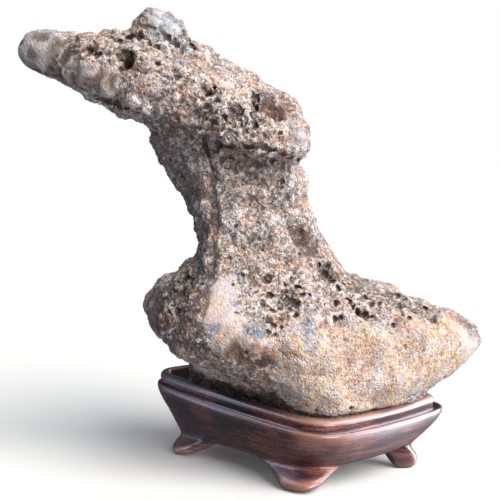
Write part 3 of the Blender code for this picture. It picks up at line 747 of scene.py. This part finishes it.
def store(piece, name, values):
    """A number for each point of the piece, for its finish to read."""
    attribute = piece.data.attributes.new(name, "FLOAT", "POINT")
    attribute.data.foreach_set("value", np.asarray(values, np.float32))


def sight(u, v):
    """The direction from the eye through a pixel of the photograph."""
    away = Vector(((u - PHOTO_SIDE / 2) / PHOTO_FOCUS, -(v - PHOTO_SIDE / 2) / PHOTO_FOCUS, -1))
    away.rotate(EYE_TURN)
    return away.normalized()


def skin_tree(piece):
    """What sights are cast against."""
    return BVHTree.FromPolygons(
        [vertex.co for vertex in piece.data.vertices], [tuple(face.vertices) for face in piece.data.polygons]
    )


def seen_at(tree, u, v):
    """The place on the skin that a pixel of the photograph shows, or None past its edge."""
    return tree.ray_cast(EYE, sight(u, v))[0]


def wandering(points, reach, across):
    """The points pushed about by noise, so that what is drawn around a place gets an uneven edge."""
    pushed = [noise.noise_vector(Vector(point) / across) for point in points]
    return points + reach * np.array(pushed)


def kind_shares(points, tree):
    """For each point, how much of each kind of surface it has, from 0 to 1."""
    loose = points
    for reach, across in KIND_WANDERS:
        loose = wandering(loose, reach, across)
    shares = {}
    for kind in KINDS:
        spots = [(seen_at(tree, u, v), radius) for u, v, radius in FRONT_PLACES[kind]]
        spots += [(VIEW_ORIGIN + Vector(place) * MM, radius) for *place, radius in HIDDEN_PLACES[kind]]
        share = np.zeros(len(points))
        for place, radius in spots:
            if place is not None:
                distance = np.linalg.norm(loose - np.array(place), axis=1) / (radius * MM)
                share = np.maximum(share, within(distance, KIND_CORE, KIND_FADE))
        shares[kind] = share
    return shares


def crumbs_at(points, across):
    """For each point, the level, slope, roundness and gap of the crumb of that size that it lies on."""
    found = np.empty((len(points), 4))
    for index, point in enumerate(points):
        place = Vector(point) / across
        place += CELL_WANDER * noise.noise_vector(place * CELL_WANDER_RATE)
        distances, centres = noise.voronoi(place)
        found[index] = (
            noise.noise(centres[0] * LEVEL_RATE),
            noise.noise_vector(centres[0] * SLOPE_RATE).dot(place - centres[0]),
            1 - min(1.0, distances[0] * CELL_ROUNDNESS) ** 2,
            1 - min(1.0, (distances[1] - distances[0]) / CELL_GAP),
        )
    return found.T


def angular(crumbs, gap_depth=CRUMB_GAP):
    """Height of crumbs with flat tops, each with its own level and slope, and a gap round it."""
    level, slope, roundness, gap = crumbs
    return LEVEL_SHARE * level + SLOPE_SHARE * slope - gap_depth * gap


def placed_on(tree, spots):
    """The places that those pixels show, with their radius and height or depth in metres."""
    found = [(seen_at(tree, u, v), radius * MM, height * MM) for u, v, radius, height in spots]
    return [spot for spot in found if spot[0] is not None]


def scattered_pits(points, shares, lowest, dice):
    """Small pits all over the stone above the lowest height, most of them where it is cavernous."""
    chance = np.full(len(points), PIT_CHANCE)
    for kind, more in PIT_CHANCES.items():
        chance += more * shares[kind]
    chance = changed(chance, shares, PIT_CHANCE_CHANGES) * (points[:, 2] > lowest)
    for index in dice.choice(len(points), SMALL_PITS, replace=False, p=chance / chance.sum()):
        radius = (dice.uniform(*PIT_RADII) + PIT_RADIUS_EXTRA * dice.random() ** 3) * MM
        yield Vector(points[index]), radius, radius * dice.uniform(*PIT_DEPTHS)


def finder(points):
    """A tree that finds the points near a place."""
    near = kdtree.KDTree(len(points))
    for index, point in enumerate(points):
        near.insert(point, index)
    near.balance()
    return near


def pit_depths(points, pits):
    """How far the pits sink the points."""
    near = finder(points)
    sunk = np.zeros(len(points))
    for place, radius, depth in pits:
        for spot, index, distance in near.find_range(place, radius * PIT_REACH):
            uneven = distance / radius * (1 + PIT_UNEVENNESS * noise.noise(spot / PIT_PITCH))
            sunk[index] = max(sunk[index], depth * within(uneven, PIT_CORE, PIT_FADE))
    return sunk


def block_heights(points, tree):
    """How far the blocks raise the points, with a moat round each block."""
    near = finder(points)
    raised = np.zeros(len(points))
    for place, radius, height in placed_on(tree, FRONT_BLOCKS):
        for spot, index, distance in near.find_range(place, radius * BLOCK_REACH):
            uneven = distance / radius * (1 + BLOCK_UNEVENNESS * noise.noise(spot / BLOCK_PITCH))
            moat = MOAT_DEPTH * height * math.exp(-(((uneven - MOAT_PLACE) / MOAT_WIDTH) ** 2))
            raised[index] += height * within(uneven, PIT_CORE, PIT_FADE) - moat
    return raised


def along_routes(points, tree, routes):
    """How deep or high each point lies in the clefts or on the ridges along those routes."""
    loose = wandering(points, *ROUTE_WANDER)
    varied = np.array([noise.noise(Vector(point) / DEPTH_PITCH) for point in points])
    varied = np.clip(DEPTH_MIDDLE + DEPTH_SPREAD * varied, *DEPTH_LIMITS)
    depths = np.zeros(len(points))
    for pixels, half_width, depth in routes:
        route = [np.array(place) for place in (seen_at(tree, u, v) for u, v in pixels) if place is not None]
        best = np.full(len(points), np.inf)
        for start, end in zip(route, route[1:]):
            run = end - start
            share = np.clip((loose - start) @ run / (run @ run), 0, 1)
            best = np.minimum(best, np.linalg.norm(loose - start - share[:, None] * run, axis=1))
        depths = np.maximum(depths, depth * MM * within(best / (half_width * MM), 0, ROUTE_FADE))
    return depths * varied


def relaxed_places(piece, passes):
    """Where the piece's points would be after smoothing."""
    modifier = piece.modifiers.new("relax", "SMOOTH")
    modifier.factor = SMOOTHING
    modifier.iterations = passes
    evaluated = piece.evaluated_get(bpy.context.evaluated_depsgraph_get()).data
    places = read_vectors(evaluated, evaluated.vertices, "co")
    piece.modifiers.remove(modifier)
    return places


def store_hollows(piece, scales):
    """Stores how hollow the piece is at each scale: 0 on an edge, half on the flat and 1 in a hollow."""
    points, normals = places_of(piece), normals_of(piece)
    for name, passes, full in scales:
        sunk = ((relaxed_places(piece, passes) - points) * normals).sum(axis=1)
        store(piece, name, np.clip(0.5 + 0.5 * sunk / full, 0, 1))


def pressed(piece, name, heights):
    """Moves each point in or out along its normal by its height in metres."""
    most = np.abs(heights).max()
    for suffix, strength, share in (("out", most, heights / most), ("in", -most, -heights / most)):
        group = paint_group(piece, name + "_" + suffix, np.maximum(share, 0))
        applied(piece, "DISPLACE", strength=strength, mid_level=0.0, vertex_group=group)
        piece.vertex_groups.remove(piece.vertex_groups[group])


def shape_stone(settings):
    """The stone's skin: the solid's form with blocks, pits, clefts, angular crumbs and coarse grains."""
    piece = copy_of("stone", "stone_skin")
    tree = skin_tree(piece)
    coarse = 1.0
    applied(piece, "REMESH", mode="VOXEL", voxel_size=settings.step * coarse)
    applied(piece, "SMOOTH", factor=SMOOTHING, iterations=SKIN_PASSES)
    shares = kind_shares(places_of(piece), tree)
    calm = paint_group(piece, "calm", np.maximum(shares["sandy"], POLISHED_CALM * shares["polished"]))
    applied(piece, "SMOOTH", factor=SMOOTHING, iterations=int(CALM_PASSES / coarse), vertex_group=calm)

    points = places_of(piece)
    lip_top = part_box("daiza")[1].z
    free = ease((points[:, 2] - lip_top + SEAT_DEPTH) / SEAT_FADE)
    scattered = scattered_pits(points, shares, lip_top - PITS_BELOW_LIP, np.random.default_rng(PIT_SEED))
    holes = PIT_SHARE * pit_depths(points, placed_on(tree, FRONT_PITS))
    holes = free * np.maximum(holes, along_routes(points, tree, CLEFTS))
    small_holes = free * pit_depths(points, scattered)
    lumps, crumbs, grains = (crumbs_at(points, across) for across in (LUMP_SIZE, CRUMB_SIZE, GRAIN_SIZE))
    rough = changed(free, shares, ROUGHNESS_CHANGES)
    broken = CRUMB_LEAST + (1 - CRUMB_LEAST) * np.maximum(shares["cavernous"], shares["crusty"])
    broken = changed(rough * broken, shares, CRUMB_CHANGES)
    # How deep each point lies in a pit or cleft, which the finish turns into painted shade.
    store(piece, "hole", np.clip(np.maximum(holes, small_holes) / DARK_DEPTH, 0, 1))
    store(piece, "tint", 0.5 + CRUMB_TINT * crumbs[0])
    # The gaps round the crumbs, which the finish darkens as painted shade.
    store(piece, "gap", rough * crumbs[3])

    forms = block_heights(points, tree) + along_routes(points, tree, RIDGES)
    forms += settings.facet * shares["slate"] * angular(crumbs_at(points, BLOCK_SIZE), BLOCK_GAP)
    pressed(piece, "forms", free * forms - small_holes)
    group = paint_group(piece, "holes", holes / holes.max())
    applied(piece, "DISPLACE", direction="Y", strength=holes.max(), mid_level=0.0, vertex_group=group)
    knobs = settings.crumb * KNOB_SHARE * shares["cavernous"] * (crumbs[2] - KNOB_LEVEL)
    skin = broken * (settings.lump * angular(lumps) + settings.crumb * angular(crumbs) + knobs)
    pressed(piece, "crumbs", skin + rough * settings.grain * angular(grains))
    drop_groups(piece)
    triangles = 2 * len(piece.data.polygons)
    applied(piece, "DECIMATE", ratio=settings.triangles / triangles, use_collapse_triangulate=True)
    return piece, tree


def read_stone(piece, tree):
    """Stores what the stone's finish reads: hollows, broad hollows and the kinds of surface."""
    store_hollows(piece, STONE_HOLLOWS)
    for kind, share in kind_shares(places_of(piece), tree).items():
        store(piece, kind, share)


def finish_stone(settings):
    """Weathered sandstone: mottled by kind of surface, with coloured grains, painted shade in pits and
    crevices, and ridges lighter partly from wear and partly as painted highlight.
    """
    skin = Finish("stone_skin")
    kinds = {kind: skin.attribute(kind) for kind in KINDS}
    polished, sandy = kinds["polished"], kinds["sandy"]
    hollow, cave, hole, gap = (skin.attribute(name) for name in ("hollow", "cave", "hole", "gap"))
    broad = skin.clouds(BROAD_PATCH)
    middle = skin.clouds(PATCH)
    fine = skin.clouds(FINE_PATCH, rough=0.7)
    streaks = skin.clouds(STREAK_WIDTH, 2.0, 0.6, place=skin.stretched(STREAK_STRETCH, STREAK_TILT))

    fray = (middle - 0.5) * PATCH_FRAY + (fine - 0.5) * FINE_FRAY
    colour = skin.mix((broad + fray * MAIN_FRAY).step(*MAIN_COLOURS), settings.warm, settings.pale)
    for kind, *reach in KIND_COLOURS:
        colour = skin.mix((kinds[kind] + fray).step(*reach), colour, getattr(settings, kind))
    for across, first, second in TINTS:
        colour = skin.tinted(colour, across, first, second)

    plain = 1 - polished * POLISHED_LOSS
    quiet = 1 - sandy * SANDY_LOSS
    calm = plain * quiet
    grain_luck = skin.luck(SAND_GRAIN)
    picks = {
        "crumb": (skin.attribute("tint"), calm),
        "pale grain": (grain_luck, plain),
        "dark grain": (grain_luck, calm),
        "speck": (skin.luck(SPECK), plain),
    }
    for pick, *reach, fleck in FLECKS:
        luck, where = picks[pick]
        colour = skin.mix(luck.step(*reach) * where, colour, fleck)
    tone = TONE + middle * PATCH_TONE - sandy * SANDY_TONE
    tone += fine * (FINE_TONE - sandy * SANDY_FINE) + streaks * (STREAK_TONE + sandy * SANDY_STREAK)
    # Duller places darker: partly duller stone, partly painted shade.
    tone -= kinds["dull_and_shade"] * (DULL_SHADE_TONE - sandy * SANDY_DULL_SHADE)
    colour = skin.brighter(colour, tone)

    pinholes = skin.cells(PINHOLE).step(*PINHOLE_SHAPE) * skin.luck(PINHOLE).step(*PINHOLE_LUCK) * calm
    # Painted shade in hollows, caves, pinholes and the gaps between crumbs.
    gap_shade = GAP_SHADE + kinds["ashen"] * ASHEN_GAP_SHADE - kinds["cavernous"] * CAVERNOUS_GAP_SHADE
    crevice_shade = hollow.step(*HOLLOW_SHADE).most(cave.step(*CAVE_SHADE))
    crevice_shade = crevice_shade.most(pinholes * PINHOLE_SHADE).most(gap.step(*GAP_RANGE) * gap_shade)
    colour = skin.mix(crevice_shade, colour, CREVICE_SHADE)
    # Ridges lighter: partly wear, partly painted highlight.
    colour = skin.mix(hollow.step(*WORN_LIT_RIDGES) * quiet, colour, WORN_LIT_STONE)
    # Painted shade in pits and clefts, by their depth.
    colour = skin.mix(hole.step(*HOLE_SHADE_RANGE), colour, HOLE_SHADE)
    height = skin.cells(SAND_GRAIN) * GRAIN_RELIEF * plain + fine * FINE_RELIEF
    height += streaks * STREAK_RELIEF - pinholes * PINHOLE_RELIEF
    skin.surface({
        "Base Color": colour,
        "Roughness": STONE_ROUGHNESS - polished * POLISH,
        "Normal": skin.relief(height, STONE_RELIEF),
        "Specular IOR Level": 0.3,
    })
    return skin.material


def shape_stand(settings):
    """The carved stand: the solid's form, rounded off, with the slight waves of a hand-cut surface."""
    piece = copy_of("daiza", "carved_stand")
    bpy.ops.object.mode_set(mode="EDIT")
    bpy.ops.mesh.select_all(action="SELECT")
    bpy.ops.mesh.tris_convert_to_quads(face_threshold=FLAT_ENOUGH, shape_threshold=FLAT_ENOUGH)
    bpy.ops.object.mode_set(mode="OBJECT")
    applied(piece, "SUBSURF", levels=settings.rounding, render_levels=settings.rounding)
    waves = bpy.data.textures.new("carving", "CLOUDS")
    waves.noise_scale = CARVING_SIZE
    waves.noise_depth = 1
    above_floor = paint_group(piece, "above_floor", ease(places_of(piece)[:, 2] / FEET_FADE))
    applied(
        piece, "DISPLACE", texture=waves, texture_coords="LOCAL", strength=settings.carving, mid_level=0.5,
        vertex_group=above_floor,
    )
    drop_groups(piece)
    return piece


def read_stand(piece):
    """Stores where the stand's edges, grooves, underside, seat and lip are: the finish puts painted shade on
    the underside and seat, and lightens the lip partly as rubbing and partly as painted highlight.
    """
    store_hollows(piece, STAND_HOLLOWS)
    across, _, height = places_of(piece).T
    facing_up = normals_of(piece)[:, 2]
    # Faces turned down, which the finish darkens as painted shade and leaves without coat.
    store(piece, "underside", ease((-LEVEL - facing_up) / LEVEL_FADE))
    # The lip, more to the right: partly rubbing, partly painted highlight.
    store(piece, "rubbed_and_lit", ease((height - LIP_HEIGHT) / LIP_FADE) * ease(across / RUBBED_LIT_FADE))
    # Level faces where the stone sits, which the finish darkens as painted shade.
    over_seat = np.abs(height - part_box("stone")[0].z)
    level = ease((facing_up - LEVEL) / LEVEL_FADE)
    store(piece, "seat", level * within(over_seat, SEAT_BAND, SEAT_BAND))


def finish_wood(settings):
    """Dark oiled hardwood: growth lines along the block, fine pores, edges lightened by wear and painted
    highlight, wax and painted shade in the grooves.
    """
    wood = Finish("oiled_hardwood")
    names = ("hollow", "edge", "underside", "seat", "rubbed_and_lit")
    hollow, edge, underside, seat, rubbed_and_lit = (wood.attribute(name) for name in names)
    along = wood.stretched(GROWTH_STRETCH)
    lines = wood.clouds(LINE, 4.0, 0.7, place=along)
    bands = wood.clouds(BAND, 3.0, 0.5, place=along)
    pores = wood.clouds(PORE, 2.0, 0.5, place=wood.stretched(PORE_STRETCH))
    figure = bands * BAND_FIGURE + lines * LINE_FIGURE + (wood.clouds(CLOUD, 2.0) - 0.5) * CLOUD_FIGURE
    colour = wood.mix(figure.step(*FIGURE_RANGE), settings.heart, settings.streak)
    for share, tone in (
        (pores.step(*PORES), OPEN_PORE),
        # Lighter edges: partly wear, partly painted highlight.
        (edge.step(*EDGE_RANGE) * (WORN_LIT_SHARE + lines * WORN_LIT_LINES), settings.worn_and_lit),
        # The lighter lip: partly rubbing, partly painted highlight.
        (rubbed_and_lit * (RUBBED_LIT_SHARE + lines * RUBBED_LIT_LINES), RUBBED_AND_LIT_WOOD),
        # Wax with painted shade in the grooves and creases.
        (hollow.step(*WAX_AND_SHADE_RANGE), WAX_AND_GROOVE_SHADE),
        # Painted shade under the stand and in the seat.
        (underside.most(seat) * UNDERSIDE_SHADE_SHARE, UNDERSIDE_SHADE),
    ):
        colour = wood.mix(share, colour, tone)
    roughness = WOOD_ROUGHNESS + lines * LINE_ROUGHNESS + hollow.step(*GROOVE_ROUGHNESS)
    height = lines * LINE_RELIEF + pores * PORE_RELIEF
    wood.surface({
        "Base Color": colour,
        "Roughness": roughness.most(underside),
        "Normal": wood.relief(height, WOOD_RELIEF, RELIEF_STRENGTH),
        "Coat Weight": COAT - underside * COAT,
        "Coat Roughness": COAT_ROUGHNESS,
        "Specular IOR Level": 0.25,
    })
    return wood.material


def dress(piece, node, finish):
    """Smooths a finished piece's shading, gives it its material and puts it in its CAD node's place."""
    select_only(piece)
    bpy.ops.object.shade_smooth()
    piece.data.materials.append(finish)
    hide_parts(node)
    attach(piece, "root")


class SUISEKI_OT_stone(bpy.types.Operator):
    """Weather the stone: blocks, crumbs, grains, pits and clefts, in mottled sandstone"""

    bl_idname = "suiseki.stone"
    bl_label = "Weather the stone"

    def execute(self, context):
        settings = context.scene.suiseki_stone
        piece, tree = shape_stone(settings)
        read_stone(piece, tree)
        dress(piece, "stone", finish_stone(settings))
        return {"FINISHED"}


class SUISEKI_OT_stand(bpy.types.Operator):
    """Finish the carved stand in oiled hardwood"""

    bl_idname = "suiseki.stand"
    bl_label = "Finish the stand"

    def execute(self, context):
        settings = context.scene.suiseki_stand
        piece = shape_stand(settings)
        read_stand(piece)
        dress(piece, "daiza", finish_wood(settings))
        return {"FINISHED"}


def white_floor(settings):
    """A pale floor that glows a little, so that shadows on it stay soft, and that wood doesn't mirror."""
    bpy.ops.object.select_all(action="DESELECT")
    bpy.ops.mesh.primitive_plane_add(size=settings.floor)
    floor = bpy.context.active_object
    floor.name = "floor"
    paper = Finish("white_paper")
    paper.surface({
        "Base Color": PAPER,
        "Roughness": 0.9,
        "Specular IOR Level": 0.0,
        "Emission Color": WHITE,
        "Emission Strength": settings.glow,
    })
    floor.data.materials.append(paper.material)
    floor.visible_diffuse = False
    floor.visible_glossy = False
    floor.visible_shadow = False
    floor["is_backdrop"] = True


def placed_light(name, kind, towards, **facts):
    """A light that shines on the object from that direction, a metre away where its distance counts."""
    light = bpy.data.lights.new(name, kind)
    for key, value in facts.items():
        setattr(light, key, value)
    lamp = bpy.data.objects.new(name, light)
    bpy.context.scene.collection.objects.link(lamp)
    lamp.location = towards
    lamp.rotation_euler = towards.to_track_quat("Z", "Y").to_euler()
    return lamp


def studio_lights(settings):
    """The soft main light, and the boxes of light for the gloss on the wood."""
    bearing, height = settings.key_bearing, settings.key_height
    level = math.cos(height)
    towards = Vector((math.sin(bearing) * level, -math.cos(bearing) * level, math.sin(height)))
    placed_light("key", "SUN", towards, energy=settings.key, angle=settings.key_softness, color=KEY_COLOUR)
    for name, (side, share, place, colour) in SOFTBOXES.items():
        power = settings.softbox * share * math.pi * side * side
        box = placed_light(name + "_softbox", "AREA", Vector(place), energy=power, size=side, color=colour)
        box.visible_diffuse = False


def sky(settings):
    """Dim light from all round with soft stronger fields; the camera sees plain white."""
    world = bpy.data.worlds.new("studio")
    world.use_nodes = True
    recipe = Recipe(world.node_tree)
    bearing = recipe.node("ShaderNodeTexCoord", output="Generated")
    strength = settings.shade
    for name, (towards, low, high) in SKY_FIELDS.items():
        sockets = {0: bearing, 1: towards}
        facing = recipe.node("ShaderNodeVectorMath", {"operation": "DOT_PRODUCT"}, sockets, "Value")
        strength = facing.step(low, high) * getattr(settings, name) + strength
    lit = recipe.node("ShaderNodeBackground", {}, {"Color": SKY_COLOUR, "Strength": strength})
    seen = recipe.node("ShaderNodeBackground", {}, {"Color": WHITE})
    camera_ray = recipe.node("ShaderNodeLightPath", output="Is Camera Ray")
    either = recipe.node("ShaderNodeMixShader", {}, {0: camera_ray, 1: lit, 2: seen})
    recipe.feed(recipe.tree.nodes["World Output"].inputs["Surface"], either)
    bpy.context.scene.world = world


def photo_camera():
    """The photograph's view."""
    camera = bpy.data.cameras.new("view")
    camera.sensor_width = SENSOR
    camera.lens = SENSOR * PHOTO_FOCUS / PHOTO_SIDE
    holder = bpy.data.objects.new("view", camera)
    bpy.context.scene.collection.objects.link(holder)
    holder.location = EYE
    holder.rotation_euler = EYE_TURN
    bpy.context.scene.camera = holder


class SUISEKI_OT_stage(bpy.types.Operator):
    """Set up the plain studio: white floor, soft main light, dim sky, softboxes and the photograph's view"""

    bl_idname = "suiseki.stage"
    bl_label = "Set the stage"

    def execute(self, context):
        settings = context.scene.suiseki_stage
        white_floor(settings)
        studio_lights(settings)
        sky(settings)
        photo_camera()
        context.scene.view_settings.view_transform = "Standard"
        return {"FINISHED"}


class SUISEKI_PT_panel(bpy.types.Panel):
    """The suiseki's pieces and their settings"""

    bl_idname = "SUISEKI_PT_panel"
    bl_label = "Suiseki"
    bl_space_type = "VIEW_3D"
    bl_region_type = "UI"
    bl_category = "Suiseki"

    def draw(self, context):
        for operator, group in STEPS:
            column = self.layout.column(align=True)
            column.operator(operator)
            settings = getattr(context.scene, group)
            for name in settings.bl_rna.properties.keys():
                if name not in ("rna_type", "name"):
                    column.prop(settings, name)


STEPS = (
    ("suiseki.stone", "suiseki_stone"),
    ("suiseki.stand", "suiseki_stand"),
    ("suiseki.stage", "suiseki_stage"),
)
GROUPS = {"suiseki_stone": StoneSettings, "suiseki_stand": StandSettings, "suiseki_stage": StageSettings}
CLASSES = (*GROUPS.values(), SUISEKI_OT_stone, SUISEKI_OT_stand, SUISEKI_OT_stage, SUISEKI_PT_panel)


def register():
    for part in CLASSES:
        bpy.utils.register_class(part)
    for name, group in GROUPS.items():
        setattr(bpy.types.Scene, name, PointerProperty(type=group))


def unregister():
    for name in GROUPS:
        delattr(bpy.types.Scene, name)
    for part in reversed(CLASSES):
        bpy.utils.unregister_class(part)


def main():
    noise.seed_set(NOISE_SEED)
    register()
    bpy.ops.suiseki.stone()
    bpy.ops.suiseki.stand()
    bpy.ops.suiseki.stage()
    boxes = {"cad": CAD_BOX, "visual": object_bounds()}
    {name: [list(corner) for corner in box] for name, box in boxes.items()}


if __name__ == "__main__":
    main()
